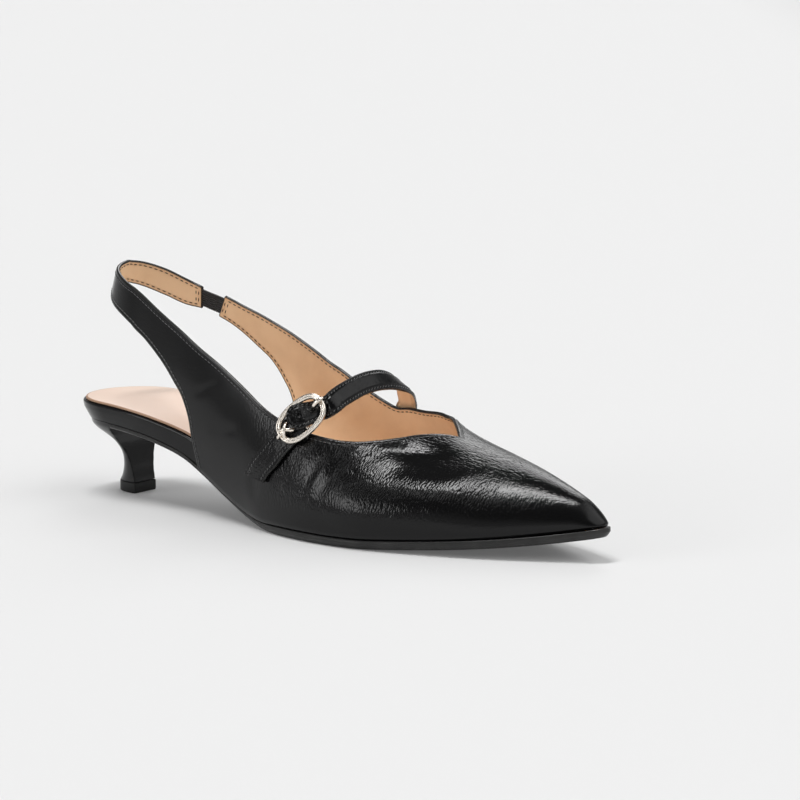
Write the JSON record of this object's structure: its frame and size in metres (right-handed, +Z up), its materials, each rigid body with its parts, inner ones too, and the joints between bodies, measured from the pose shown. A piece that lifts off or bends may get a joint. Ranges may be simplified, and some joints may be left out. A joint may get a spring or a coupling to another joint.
{
  "type": "slingback pump shoe",
  "caption": "Pointed slingback pump for the right foot with a low flared kitten heel, an instep strap with an oval buckle on the outer side, and a sling strap with an elastic gusset.",
  "frame": {"origin": "On the floor, inside the flat underside of the heel tip, on the shoe's lengthwise centre plane", "axes": "+X to the toe, +Y to the inner side of the foot, +Z up from the floor"},
  "size_m": [0.2668, 0.0799, 0.0985],
  "materials": {
    "leather": "glossy, finely crinkled",
    "sole": "satin",
    "tip": "satin",
    "heel": "glossy",
    "wrap": "satin",
    "sock": "matte",
    "elastic": "ribbed, matte",
    "metal": "polished pale gold"
  },
  "bodies": {
    "root": {"outsole": "sole", "insole_board": "wrap", "insole_sock": "sock", "heel": "heel", "heel_tip": "tip", "upper": "leather", "sling_elastic": "elastic", "instep_strap": "leather", "buckle_ring": "metal", "buckle_prong": "metal", "buckle_tab": "leather"}
  },
  "joints": []
}
